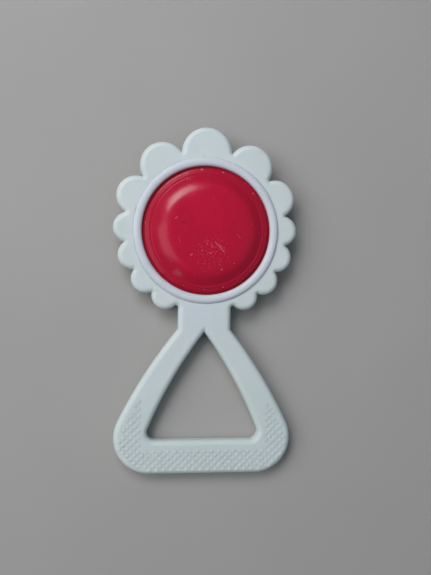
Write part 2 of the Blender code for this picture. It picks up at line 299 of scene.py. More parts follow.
# Colour of the dark streak on the front dome.
RED_DARK_STREAK = (0.20, 0.004, 0.016, 1.0)
RED_WORN = (0.80, 0.38, 0.44, 1.0)
RED_MOTTLE = (70.0, 3.0)
# Where the painted shade on the dome begins and ends, and its share.
SHOULDER_PAINTED_SHADE_RANGE = (0.0182, 0.0206, 0.0, 0.70)
RED_DOTS = (2900.0, 0.0)
MANY_DOTS_RANGE = (0.71, 0.77, 0.0, 0.42)
FEW_DOTS_RANGE = (0.79, 0.84, 0.0, 0.18)
CHIPPED_FROM_TO = (0.0236, 0.0242)
RED_CHIPS = (900.0, 2.0)
RED_CHIPS_RANGE = (0.68, 0.76, 0.0, 0.5)
RED_SHEEN = (180.0, 4.0)
RED_ROUGHNESS = (0.17, 0.24)
WORN_ROUGHNESS = 0.35
RED_WAVES = (140.0, 2.0)
RED_WAVES_HEIGHT = 0.00005
RED_SKIN = (3800.0, 2.0)
RED_SKIN_HEIGHT = 0.000002

PELLET_BASE = (0.80, 0.56, 0.08, 1.0)
PELLET_SHADE = (0.74, 0.50, 0.06, 1.0)
PELLET_MOTTLE = (700.0, 3.0)
PELLET_SHEEN = (900.0, 3.0)
PELLET_ROUGHNESS = (0.30, 0.45)
PELLET_SKIN = (5000.0, 2.0)
PELLET_SKIN_HEIGHT = 0.000004

FLOOR_BASE = (0.40, 0.39, 0.38, 1.0)
FLOOR_SHADE = (0.43, 0.42, 0.41, 1.0)
FLOOR_PATCHES = (18.0, 3.0)
FLOOR_ROUGHNESS = 0.85

# ---- Floor, light and camera: angles in degrees ----

FLOOR_SIZE = 3.0
REST_STEPS = 200
WHITE_LIGHT = (1.0, 1.0, 1.0)
WINDOW_LIGHT = (1.0, 0.99, 1.03)
SKY_LIGHT = (0.74, 0.98, 1.20)
LIGHTS = [  # name, bearing from +X, rise, distance, width and height, watts, colour, in the gloss
    ("window", 118.0, 51.0, 0.60, (0.28, 0.23), 1.14, WINDOW_LIGHT, True),
    ("bright_wall", 193.0, 59.0, 0.80, (0.42, 0.46), 0.56, WHITE_LIGHT, True),
    ("soft_fill", 157.0, 45.0, 1.40, (1.0, 1.0), 9.8, WHITE_LIGHT, False),
    ("sky_fill", -10.0, 50.0, 1.20, (0.8, 0.8), 0.80, SKY_LIGHT, False),
    ("small_lamp", 241.0, 36.0, 1.0, (0.06, 0.06), 0.07, WHITE_LIGHT, True),
]
ROOM_COLOUR = (0.95, 0.98, 1.0, 1.0)
ROOM_STRENGTH = 0.12
LENS = 43.83
SENSOR = 36.0
NEAREST = 0.01
CAMERA_AT = (-0.03351, 0.00953, 0.29264)
CAMERA_TURN = (-0.895, -7.416, 1.018)


# ---- Outlines ----


def at_bearing(centre, radius, bearing):
    """A point at a clockwise bearing from +Y."""
    return (centre[0] + radius * math.sin(bearing), centre[1] + radius * math.cos(bearing))


def angle_to(start, end):
    """Direction from one point to another, counter-clockwise from +X."""
    return math.atan2(end[1] - start[1], end[0] - start[0])


def arc_centre(start, end, radius):
    """Centre of the arc of a given radius that bulges to +X between two points."""
    half_x = (end[0] - start[0]) / 2
    half_y = (end[1] - start[1]) / 2
    half_chord = math.hypot(half_x, half_y)
    depth = math.sqrt(radius**2 - half_chord**2)
    middle = (start[0] + half_x, start[1] + half_y)
    return (middle[0] + depth * half_y / half_chord, middle[1] - depth * half_x / half_chord)


LEG_CENTRE = arc_centre((NECK_HALF_WIDTH, SHOULDER_Y), LEG_END, LEG_ARC_RADIUS)
HOLE_CENTRE = arc_centre((0.0, HOLE_TOP_Y), HOLE_END, HOLE_ARC_RADIUS)


def petal_centre(index):
    """Centre of a petal on the right, counted from the top."""
    return at_bearing(HEAD, PETAL_RING, math.radians(PETALS[index][0]))


def notch_centre(index):
    """Centre of the small round that touches a petal and the next one down from outside."""
    first = petal_centre(index)
    second = petal_centre(index + 1)
    first_reach = PETALS[index][1] + NOTCH_RADIUS
    second_reach = PETALS[index + 1][1] + NOTCH_RADIUS
    gap = math.dist(first, second)
    along = (gap**2 + first_reach**2 - second_reach**2) / (2 * gap)
    angle = angle_to(first, second) + math.acos(along / first_reach)
    return (first[0] + first_reach * math.cos(angle), first[1] + first_reach * math.sin(angle))


def neck_round_centre():
    """Centre of the hollow round that touches the last petal and the side of the neck."""
    x = NECK_HALF_WIDTH + NECK_ROUND
    last_x, last_y = petal_centre(-1)
    reach = PETALS[-1][1] + NECK_ROUND
    return (x, last_y - math.sqrt(reach**2 - (last_x - x) ** 2))


def shoulder_centre():
    """Centre of the hollow round that touches the side of the neck and the leg."""
    x = NECK_HALF_WIDTH + SHOULDER_ROUND
    reach = LEG_ARC_RADIUS + SHOULDER_ROUND
    return (x, LEG_CENTRE[1] + math.sqrt(reach**2 - (x - LEG_CENTRE[0]) ** 2))


def corner_centre(centre, arc_radius, corner_radius, bottom_y):
    """Centre of the round between an arc that bulges to +X and a level line below it."""
    y = bottom_y + corner_radius
    reach = arc_radius - corner_radius
    return (centre[0] + math.sqrt(reach**2 - (y - centre[1]) ** 2), y)


def bulge(centre, radius, start, end, steps):
    """An arc of the outline that bulges outwards, run clockwise."""
    return (centre, radius, start, start - (start - end) % (2 * math.pi), -1, steps)


def hollow(centre, radius, start, end, steps):
    """An arc of the outline that curves inwards, run counter-clockwise."""
    return (centre, radius, start, start + (end - start) % (2 * math.pi), 1, steps)


def head_arcs():
    """The right-hand petals and the notches between them, down to the neck."""
    arcs = []
    last = len(PETALS) - 1
    start = math.pi / 2
    for index in range(last + 1):
        centre = petal_centre(index)
        is_last = index == last
        gap_centre = neck_round_centre() if is_last else notch_centre(index)
        gap_radius = NECK_ROUND if is_last else NOTCH_RADIUS
        steps = PETAL_STEPS // 2 if index == 0 else PETAL_STEPS
        arcs.append(bulge(centre, PETALS[index][1], start, angle_to(centre, gap_centre), steps))
        if is_last:
            end = math.pi
        else:
            end = angle_to(gap_centre, petal_centre(index + 1))
            start = end + math.pi
        arcs.append(hollow(gap_centre, gap_radius, angle_to(gap_centre, centre), end, ROUND_STEPS))
    return arcs


def grip_arcs():
    """The shoulder, the leg and the foot's corner on the right."""
    shoulder = shoulder_centre()
    corner = corner_centre(LEG_CENTRE, LEG_ARC_RADIUS, FOOT_CORNER_RADIUS, BOTTOM_Y)
    leg_start = angle_to(LEG_CENTRE, shoulder)
    leg_end = angle_to(LEG_CENTRE, corner)
    return [
        hollow(shoulder, SHOULDER_ROUND, math.pi, leg_start + math.pi, ROUND_STEPS),
        bulge(LEG_CENTRE, LEG_ARC_RADIUS, leg_start, leg_end, LEG_STEPS),
        bulge(corner, FOOT_CORNER_RADIUS, leg_end, -math.pi / 2, FOOT_STEPS),
    ]


def hole_arcs(outset):
    """The hole's leg side and lower corner on the right, from its apex."""
    corner = corner_centre(HOLE_CENTRE, HOLE_ARC_RADIUS, HOLE_CORNER_RADIUS, HOLE_BOTTOM_Y)
    apex = math.acos(-HOLE_CENTRE[0] / (HOLE_ARC_RADIUS + outset))
    leg_end = angle_to(HOLE_CENTRE, corner)
    return [
        bulge(HOLE_CENTRE, HOLE_ARC_RADIUS, apex, leg_end, HOLE_STEPS),
        bulge(corner, HOLE_CORNER_RADIUS, leg_end, -math.pi / 2, HOLE_CORNER_STEPS),
    ]


def arc_points(arcs, inset):
    """Points along touching arcs that are moved inwards by inset, each join once."""
    points = []
    for centre, radius, start, end, side, steps in arcs:
        reach = radius + side * inset
        for k in range(steps + 1):
            angle = start + (end - start) * k / steps
            point = (centre[0] + reach * math.cos(angle), centre[1] + reach * math.sin(angle))
            if not points or math.dist(points[-1], point) > SAME_POINT:
                points.append(point)
    return points


def mirrored(right):
    """A closed outline from its right half, whose first and last points are on X = 0."""
    right[0] = (0.0, right[0][1])
    left = [(-x, y) for x, y in reversed(right[1:-1])]
    return right + left


def outer_outline(inset):
    """The moulding's outer edge moved inwards by inset, clockwise from the top."""
    right = arc_points(head_arcs() + grip_arcs(), inset)
    return mirrored(right + [(0.0, BOTTOM_Y + inset)])


def hole_outline(outset):
    """The triangular hole's edge moved outwards by outset, clockwise from its apex."""
    right = arc_points(hole_arcs(outset), -outset)
    return mirrored(right + [(0.0, HOLE_BOTTOM_Y - outset)])


def circle(centre, radius, steps):
    """A closed outline, clockwise from the top."""
    return [at_bearing(centre, radius, 2 * math.pi * k / steps) for k in range(steps)]


def arc_x(centre, radius, y):
    """Where an arc that bulges to +X passes a height y."""
    return centre[0] + math.sqrt(radius**2 - (y - centre[1]) ** 2)


def leg_pocket(side):
    """Outline of the pocket in one leg, a wall's thickness inside both its edges."""
    span = LEG_POCKET_BOTTOM_Y - LEG_POCKET_TOP_Y
    heights = [LEG_POCKET_TOP_Y + span * k / POCKET_STEPS for k in range(POCKET_STEPS + 1)]
    outside = [(side * arc_x(LEG_CENTRE, LEG_ARC_RADIUS - WALL, y), y) for y in heights]
    inside = [(side * arc_x(HOLE_CENTRE, HOLE_ARC_RADIUS + WALL, y), y) for y in heights]
    return outside + inside[::-1]


def bar_pocket():
    """Outline of the pocket in the grip's bar, a wall's thickness inside its edges."""
    top = HOLE_BOTTOM_Y - WALL
    bottom = BOTTOM_Y + WALL
    half = BAR_POCKET_HALF_LENGTH
    return [(-half, top), (half, top), (half, bottom), (-half, bottom)]


def pin_places():
    """Where the halves are pinned together."""
    places = [NECK_PIN]
    for side in (1, -1):
        places.append((side * FOOT_PIN[0], FOOT_PIN[1]))
        for index in PIN_PETALS:
            x, y = at_bearing(HEAD, PIN_RING, math.radians(PETALS[index][0]))
            if x > 0 or side > 0:
                places.append((side * x, y))
    return places


def patch_outline():
    """The part of the grip's face that has bumps on it, clockwise from the right leg's top."""
    corner_y = BOTTOM_Y + PATCH_BOTTOM_INSET
    reach = LEG_ARC_RADIUS - PATCH_LEG_INSET
    corner = corner_centre(LEG_CENTRE, reach, PATCH_CORNER_RADIUS, corner_y)
    top = (arc_x(LEG_CENTRE, reach, PATCH_TOP_Y), PATCH_TOP_Y)
    leg_start = angle_to(LEG_CENTRE, top)
    leg_end = angle_to(LEG_CENTRE, corner)
    leg = bulge(LEG_CENTRE, reach, leg_start, leg_end, LEG_STEPS)
    foot = bulge(corner, PATCH_CORNER_RADIUS, leg[3], -math.pi / 2, FOOT_STEPS)
    right = [(PATCH_LEG_INNER_X, PATCH_BAR_TOP_Y), (PATCH_LEG_INNER_X, PATCH_TOP_Y)]
    right += arc_points([leg, foot], 0.0)
    return right + [(-x, y) for x, y in reversed(right)]


# ---- Mesh work ----


def new_piece(name, mesh):
    """An object in the scene that holds a mesh."""
    piece = bpy.data.objects.new(name, mesh)
    bpy.context.scene.collection.objects.link(piece)
    return piece


def finished_mesh(mesh, material):
    """Smooth shading between sharp edges, and one material."""
    mesh.materials.clear()
    mesh.materials.append(material)
    mesh.shade_smooth()
    mesh.set_sharp_from_angle(angle=SHARP_ANGLE)
    return mesh


def outward(mesh):
    """Merge doubles and turn every face of a closed mesh outwards."""
    shape = bmesh.new()
    shape.from_mesh(mesh)
    bmesh.ops.remove_doubles(shape, verts=shape.verts[:], dist=SAME_POINT)
    bmesh.ops.recalc_face_normals(shape, faces=shape.faces[:])
    shape.to_mesh(mesh)
    shape.free()
    return mesh


def ring(shape, outline, z):
    """Vertices along an outline at one height."""
    return [shape.verts.new((x, y, z)) for x, y in outline]


def edges_of(shape, loop):
    """The edges along a closed loop of vertices, made where they are missing."""
    edges = []
    for a, b in zip(loop, loop[1:] + loop[:1]):
        edges.append(shape.edges.get((a, b)) or shape.edges.new((a, b)))
    return edges


def loft(shape, loops):
    """Walls between successive loops that have the same number of points."""
    for lower, upper in zip(loops, loops[1:]):
        for k in range(len(lower)):
            after = (k + 1) % len(lower)
            shape.faces.new((lower[k], lower[after], upper[after], upper[k]))


def cap(shape, loops):
    """A flat face that fills the first loop and leaves out the others."""
    edges = []
    for loop in loops:
        edges += edges_of(shape, loop)
    bmesh.ops.triangle_fill(shape, edges=edges, use_beauty=True)


def well(shape, outline, mouth_z, floor_z):
    """A blind recess, or a pin, from a flat face. Returns the loop in that face."""
    mouth = ring(shape, outline, mouth_z)
    floor = ring(shape, outline, floor_z)
    loft(shape, [mouth, floor])
    shape.faces.new(floor)
    return mouth


def quarter_round(radius, steps):
    """Inset and rise of points round a quarter circle, from its wall to its level end."""
    points = []
    for k in range(steps + 1):
        angle = math.pi / 2 * k / steps
        points.append((radius * (1 - math.cos(angle)), radius * math.sin(angle)))
    return points


def edge_section():
    """Inset and height up the moulding's edge: the seam, the wall, the round and the face."""
    section = [(SEAM_ROUND + LEVEL_MARGIN, SEAM_GAP)]
    for inset, rise in reversed(quarter_round(SEAM_ROUND, CORNER_STEPS)):
        section.append((inset, SEAM_GAP + SEAM_ROUND - rise))
    for inset, rise in quarter_round(EDGE_RADIUS, EDGE_STEPS):
        section.append((inset, FACE_Z - EDGE_RADIUS + rise))
    section.append((EDGE_RADIUS + LEVEL_MARGIN, FACE_Z))
    return section


def seat_section():
    """Radius and height down the drum's seat: the face, a small round, the wall, the web."""
    section = [(SEAT_RADIUS + SEAT_ROUND + LEVEL_MARGIN, FACE_Z)]
    for inset, rise in reversed(quarter_round(SEAT_ROUND, CORNER_STEPS)):
        section.append((SEAT_RADIUS + inset, FACE_Z - SEAT_ROUND + rise))
    section.append((SEAT_RADIUS, SEAT_FLOOR_Z))
    section.append((WEB_BORE_RADIUS, SEAT_FLOOR_Z))
    section.append((WEB_BORE_RADIUS, SEAM_GAP))
    return section


def frame_moulding(side):
    """Mesh of one half of the white moulding, with rounded edges and mitred notches."""
    shape = bmesh.new()
    outer = [ring(shape, outer_outline(inset), side * z) for inset, z in edge_section()]
    hole = [ring(shape, hole_outline(inset), side * z) for inset, z in edge_section()]
    seat = [ring(shape, circle(DRUM, r, TURN_STEPS), side * z) for r, z in seat_section()]
    for loops in (outer, hole, seat):
        loft(shape, loops)

    recesses = []
    for outline in (leg_pocket(1), leg_pocket(-1), bar_pocket()):
        recesses.append(well(shape, outline, side * SEAM_GAP, side * ROOF_Z))
    radius = SOCKET_RADIUS if side > 0 else PIN_RADIUS
    reach = SOCKET_DEPTH_Z if side > 0 else PIN_REACH_Z
    for place in pin_places():
        outline = circle(place, radius, PIN_STEPS)
        recesses.append(well(shape, outline, side * SEAM_GAP, reach))

    cap(shape, [outer[-1], seat[0], hole[-1]])
    cap(shape, [outer[0], seat[-1], hole[0]] + recesses)
    bmesh.ops.recalc_face_normals(shape, faces=shape.faces[:])
    mesh = bpy.data.meshes.new("moulding")
    shape.to_mesh(mesh)
    shape.free()
    return mesh


# ---- Turned profiles ----


def softened(points, rounds):
    """A line of (radius, z) points whose named corners are rounded. rounds is {index: size}."""
    line = []
    for index, point in enumerate(points):
        if index not in rounds:
            line.append(point)
            continue
        corner = Vector(point)
        ends = []
        for other in (Vector(points[index - 1]), Vector(points[(index + 1) % len(points)])):
            reach = min(rounds[index], (other - corner).length * CORNER_SHARE)
            ends.append(corner + (other - corner).normalized() * reach)
        for k in range(CORNER_STEPS + 1):
            t = k / CORNER_STEPS
            place = ends[0] * (1 - t) ** 2 + corner * (2 * t * (1 - t)) + ends[1] * t**2
            line.append(tuple(place))
    return line


def sided(profile, side):
    """A profile on the front, or the same one on the back."""
    return [(radius, side * z) for radius, z in profile]


def bezel_profile():
    """Section of the ring: a rebate over the dome's flange, and a bead that falls outwards."""
    middle = (BEZEL_OUTER + BEZEL_INNER) / 2
    half = (BEZEL_OUTER - BEZEL_INNER) / 2
    profile = [
        (BEZEL_INNER, BEZEL_REBATE_Z),
        (BEZEL_REBATE_RADIUS, BEZEL_REBATE_Z),
        (BEZEL_REBATE_RADIUS, BEZEL_FOOT_Z),
        (BEZEL_OUTER, BEZEL_FOOT_Z),
    ]
    for k in range(BEAD_STEPS + 1):
        angle = math.pi * k / BEAD_STEPS
        across = math.cos(angle)
        if across > 0:
            z = BEAD_TOP_Z - (BEAD_TOP_Z - BEAD_OUTER_Z) * across**BEAD_FALL
        else:
            z = BEAD_FOOT_Z + (BEAD_TOP_Z - BEAD_FOOT_Z) * math.sin(angle)
        profile.append((middle + half * across, z))
    return profile + profile[:1]


def dome_surface(radius):
    """Height of the dome's outer surface at a distance from its axis."""
    height = DOME_TOP_Z
    for (near, near_slope), (far, far_slope) in zip(DOME_SLOPES, DOME_SLOPES[1:]):
        if radius <= near:
            break
        width = min(radius, far) - near
        last_slope = near_slope + (far_slope - near_slope) * width / (far - near)
        height -= width * (near_slope + last_slope) / 2
    return height


def dome_line(offset, last_radius, steps):
    """Points down the dome's surface, or a wall's thickness below it."""
    radii = [last_radius * k / steps for k in range(steps + 1)]
    span = BRIM_CORNER[1] - BRIM_CORNER[0]
    radii += [BRIM_CORNER[0] + span * k / CORNER_STEPS for k in range(CORNER_STEPS + 1)]
    radii = sorted(radius for radius in radii if radius <= last_radius)
    return [(radius, dome_surface(radius) - offset) for radius in radii]


def dome_profile():
    """Section of the red cap: its face, stepped rim, flange and inside."""
    brim_z = dome_surface(BRIM_RADIUS)
    outside = dome_line(0.0, BRIM_RADIUS, OUTSIDE_STEPS)
    corners = outside[-2:]
    corners += [(radius, brim_z - depth) for radius, depth in DOME_RIM]
    corners += [
        (DOME_RIM[-1][0], FLANGE_TOP_Z),
        (FLANGE_RADIUS, FLANGE_TOP_Z),
        (FLANGE_RADIUS, FLANGE_FOOT_Z),
        (DOME_INNER_RADIUS, FLANGE_FOOT_Z),
        DOME_INNER_CORNER,
    ]
    rounds = {index: RIM_ROUND for index in range(1, len(DOME_RIM) + 2)}
    rim = softened(corners, rounds)[1:]
    inside = dome_line(DOME_WALL, DOME_INSIDE_EDGE, INSIDE_STEPS)
    return outside[:-1] + rim + inside[::-1]


def pellet_profile():
    """Half the outline of a moulded ball that has a fine seam ridge round its middle."""
    profile = []
    for k in range(PELLET_PROFILE_STEPS + 1):
        angle = math.pi * k / PELLET_PROFILE_STEPS
        ridge = SEAM_RIDGE * math.exp(-((PELLET_PROFILE_STEPS / 2 - k) ** 2))
        radius = PELLET_RADIUS - SEAM_RIDGE + ridge
        profile.append((radius * math.sin(angle), PELLET_RADIUS * math.cos(angle)))
    return profile


# ---- Geometry Nodes ----


def add_node(tree, kind, inputs=None, **settings):
    """A node with its settings, and its inputs linked or set, by name or by place."""
    node = tree.nodes.new(kind)
    for key, value in settings.items():
        setattr(node, key, value)
    for key, value in (inputs or {}).items():
        if isinstance(value, bpy.types.NodeSocket):
            tree.links.new(value, node.inputs[key])
        else:
            node.inputs[key].default_value = value
    return node


def maths(tree, operation, *values):
    """A Math node's result."""
    node = add_node(tree, "ShaderNodeMath", dict(enumerate(values)), operation=operation)
    return node.outputs[0]


def times(tree, *values):
    """The product of two values."""
    return maths(tree, "MULTIPLY", *values)


def vectors(tree, operation, *values):
    """A Vector Math node's result, as a vector or as a number."""
    node = add_node(tree, "ShaderNodeVectorMath", dict(enumerate(values)), operation=operation)
    return node.outputs[1 if operation in ("DISTANCE", "DOT_PRODUCT") else 0]


def parts_of(tree, vector):
    """The X, Y and Z of a vector."""
    return add_node(tree, "ShaderNodeSeparateXYZ", {0: vector}).outputs


def joined(tree, x, y, z):
    """A vector from its X, Y and Z."""
    return add_node(tree, "ShaderNodeCombineXYZ", {0: x, 1: y, 2: z}).outputs[0]


def position(tree):
    """Each point's own place."""
    return tree.nodes.new("GeometryNodeInputPosition").outputs[0]


def moved_to(tree, geometry, places):
    """Geometry with each point set at a new place."""
    inputs = {"Geometry": geometry, "Position": places}
    return add_node(tree, "GeometryNodeSetPosition", inputs).outputs[0]


def new_tree(name, sizes):
    """A Geometry Nodes tree with geometry in and out and named inputs, {name: kind}."""
    tree = bpy.data.node_groups.new(name, "GeometryNodeTree")
    interface = tree.interface
    interface.new_socket("Geometry", in_out="INPUT", socket_type="NodeSocketGeometry")
    for label, kind in sizes.items():
        interface.new_socket(label, in_out="INPUT", socket_type="NodeSocket" + kind)
    interface.new_socket("Geometry", in_out="OUTPUT", socket_type="NodeSocketGeometry")
    return tree, tree.nodes.new("NodeGroupInput").outputs


def end_tree(tree, geometry, material):
    """Close a tree: real geometry with its material."""
    real = add_node(tree, "GeometryNodeRealizeInstances", {"Geometry": geometry})
    smooth = add_node(tree, "GeometryNodeSetShadeSmooth", {"Geometry": real.outputs[0]})
    dressed = add_node(
        tree, "GeometryNodeSetMaterial", {"Geometry": smooth.outputs[0], "Material": material}
    )
    output = tree.nodes.new("NodeGroupOutput")
    tree.links.new(dressed.outputs[0], output.inputs[0])


def grown(name, start, tree, sizes):
    """The plain mesh that a tree makes from a start mesh, given its named inputs."""
    holder = new_piece(name + "_start", start)
    modifier = holder.modifiers.new(tree.name, "NODES")
    modifier.node_group = tree
    for item in tree.interface.items_tree:
        if item.in_out == "INPUT" and item.name in sizes:
            modifier[item.identifier] = sizes[item.name]
    graph = bpy.context.evaluated_depsgraph_get()
    made = bpy.data.meshes.new_from_object(holder.evaluated_get(graph))
    made.name = name
    holder.modifiers.remove(modifier)
    bpy.data.objects.remove(holder)
    bpy.data.meshes.remove(start)
    return made


def lathe_tree():
    """Turns the start mesh, a line of points at (radius, 0, z), about a centre line."""
    tree, given = new_tree(
        "turned_on_a_lathe", {"Centre": "Vector", "Turn Steps": "Int", "Material": "Material"}
    )
    profile = given["Geometry"]
    count = add_node(
        tree, "GeometryNodeAttributeDomainSize", {"Geometry": profile}, component="MESH"
    ).outputs["Point Count"]
    columns = maths(tree, "ADD", given["Turn Steps"], 1.0)
    grid = add_node(
        tree,
        "GeometryNodeMeshGrid",
        {"Size X": 1.0, "Size Y": 1.0, "Vertices X": columns, "Vertices Y": count},
    )
    index = tree.nodes.new("GeometryNodeInputIndex").outputs[0]
    row = maths(tree, "MODULO", index, count)
    column = maths(tree, "FLOOR", maths(tree, "DIVIDE", index, count))
    turn = maths(tree, "DIVIDE", times(tree, column, 2 * math.pi), given["Turn Steps"])
    sample = add_node(
        tree, "GeometryNodeSampleIndex", {"Geometry": profile}, data_type="FLOAT_VECTOR"
    )
    tree.links.new(position(tree), sample.inputs["Value"])
    tree.links.new(row, sample.inputs["Index"])
    radius, _, height = parts_of(tree, sample.outputs[0])
    x = times(tree, radius, maths(tree, "SINE", turn))
    y = times(tree, radius, maths(tree, "COSINE", turn))
    spot = vectors(tree, "ADD", joined(tree, x, y, height), given["Centre"])
    closed = add_node(
        tree,
        "GeometryNodeMergeByDistance",
        {"Geometry": moved_to(tree, grid.outputs[0], spot), "Distance": POLE_MERGE},
    )
    end_tree(tree, closed.outputs[0], given["Material"])
    return tree


def bump_lattice(tree, given):
    """Points in offset rows at the face's height, kept where the start mesh is under them."""
    last_column = maths(tree, "SUBTRACT", given["Columns"], 1.0)
    last_row = maths(tree, "SUBTRACT", given["Rows"], 1.0)
    grid = add_node(
        tree,
        "GeometryNodeMeshGrid",
        {
            "Size X": times(tree, given["Column Pitch"], last_column),
            "Size Y": times(tree, given["Row Pitch"], last_row),
            "Vertices X": given["Columns"],
            "Vertices Y": given["Rows"],
        },
    )
    index = tree.nodes.new("GeometryNodeInputIndex").outputs[0]
    place = position(tree)
    row = maths(tree, "MODULO", index, given["Rows"])
    odd = maths(tree, "MODULO", row, 2.0)
    shift = times(tree, maths(tree, "SUBTRACT", odd, 0.5), given["Column Pitch"])
    x = maths(tree, "ADD", parts_of(tree, place)[0], times(tree, shift, 0.5))
    y = maths(tree, "ADD", times(tree, row, given["Row Pitch"]), given["First Row"])
    lattice = moved_to(tree, grid.outputs[0], joined(tree, x, y, given["Face Height"]))
    probe = add_node(
        tree,
        "GeometryNodeRaycast",
        {
            "Target Geometry": given["Geometry"],
            "Source Position": vectors(tree, "ADD", place, (0.0, 0.0, PROBE_LIFT)),
            "Ray Direction": (0.0, 0.0, -1.0),
            "Ray Length": PROBE_LENGTH,
        },
    )
    outside = add_node(
        tree, "FunctionNodeBooleanMath", {0: probe.outputs["Is Hit"]}, operation="NOT"
    )
    return add_node(
        tree,
        "GeometryNodeDeleteGeometry",
        {"Geometry": lattice, "Selection": outside.outputs[0]},
        domain="POINT",
    ).outputs[0]


def diamond_bump(tree, given):
    """One bump: a ball drawn in to a soft diamond, crowned above and rooted in the wall."""
    ball = add_node(
        tree,
        "GeometryNodeMeshUVSphere",
        {"Segments": BUMP_SEGMENTS, "Rings": BUMP_RINGS, "Radius": 1.0},
    )
    x, y, z = parts_of(tree, position(tree))
    squares = maths(tree, "ADD", times(tree, x, x), times(tree, y, y))
    reach = maths(tree, "MAXIMUM", maths(tree, "SQRT", squares), NEAR_ZERO)
    span = maths(tree, "ADD", maths(tree, "ABSOLUTE", x), maths(tree, "ABSOLUTE", y))
    corner = maths(tree, "DIVIDE", maths(tree, "MAXIMUM", span, NEAR_ZERO), reach)
    pinch = times(tree, given["Bump Radius"], maths(tree, "POWER", corner, BUMP_PINCH))
    crown = maths(tree, "POWER", maths(tree, "MAXIMUM", z, 0.0), BUMP_CROWN)
    top = times(tree, given["Bump Height"], crown)
    root = times(tree, given["Root Depth"], maths(tree, "MINIMUM", z, 0.0))
    height = maths(tree, "ADD", top, root)
    shaped = joined(tree, times(tree, x, pinch), times(tree, y, pinch), height)
    return moved_to(tree, ball.outputs[0], shaped)


def bump_scale(tree, given):
    """Height of each bump: lower up the legs, and a little uneven."""
    fade = add_node(
        tree,
        "ShaderNodeMapRange",
        {
            "Value": parts_of(tree, position(tree))[1],
            "From Min": given["Fade Start"],
            "From Max": given["Fade End"],
            "To Min": 1.0,
            "To Max": given["Faded Height"],
        },
    ).outputs[0]
    chance = add_node(
        tree, "FunctionNodeRandomValue", {"Seed": given["Seed"]}, data_type="FLOAT"
    ).outputs[1]
    spread = times(tree, maths(tree, "SUBTRACT", chance, 0.5), given["Unevenness"])
    return joined(tree, 1.0, 1.0, times(tree, fade, maths(tree, "ADD", spread, 1.0)))


def bump_tree():
    """Soft diamond bumps in offset rows over the start mesh, and the same on the back."""
    kinds = {label: kind for label, (kind, _) in BUMP_INPUTS.items()}
    kinds["Material"] = "Material"
    tree, given = new_tree("grip_bumps", kinds)
    planted = add_node(
        tree,
        "GeometryNodeInstanceOnPoints",
        {
            "Points": bump_lattice(tree, given),
            "Instance": diamond_bump(tree, given),
            "Scale": bump_scale(tree, given),
        },
    )
    front = add_node(tree, "GeometryNodeRealizeInstances", {"Geometry": planted.outputs[0]})
    behind = add_node(
        tree, "GeometryNodeTransform", {"Geometry": front.outputs[0], "Scale": (1.0, 1.0, -1.0)}
    )
    back = add_node(tree, "GeometryNodeFlipFaces", {"Mesh": behind.outputs[0]})
    both = tree.nodes.new("GeometryNodeJoinGeometry")
    tree.links.new(front.outputs[0], both.inputs[0])
    tree.links.new(back.outputs[0], both.inputs[0])
    end_tree(tree, both.outputs[0], given["Material"])
    return tree


def profile_mesh(profile):
    """A line of points to be turned."""
    mesh = bpy.data.meshes.new("profile")
    lines = [(k, k + 1) for k in range(len(profile) - 1)]
    mesh.from_pydata([(radius, 0.0, z) for radius, z in profile], lines, [])
    return mesh


def patch_mesh():
    """A flat sheet over the part of the grip that has bumps."""
    shape = bmesh.new()
    cap(shape, [ring(shape, patch_outline(), FACE_Z)])
    mesh = bpy.data.meshes.new("bump_patch")
    shape.to_mesh(mesh)
    shape.free()
    return mesh


# ---- Materials ----


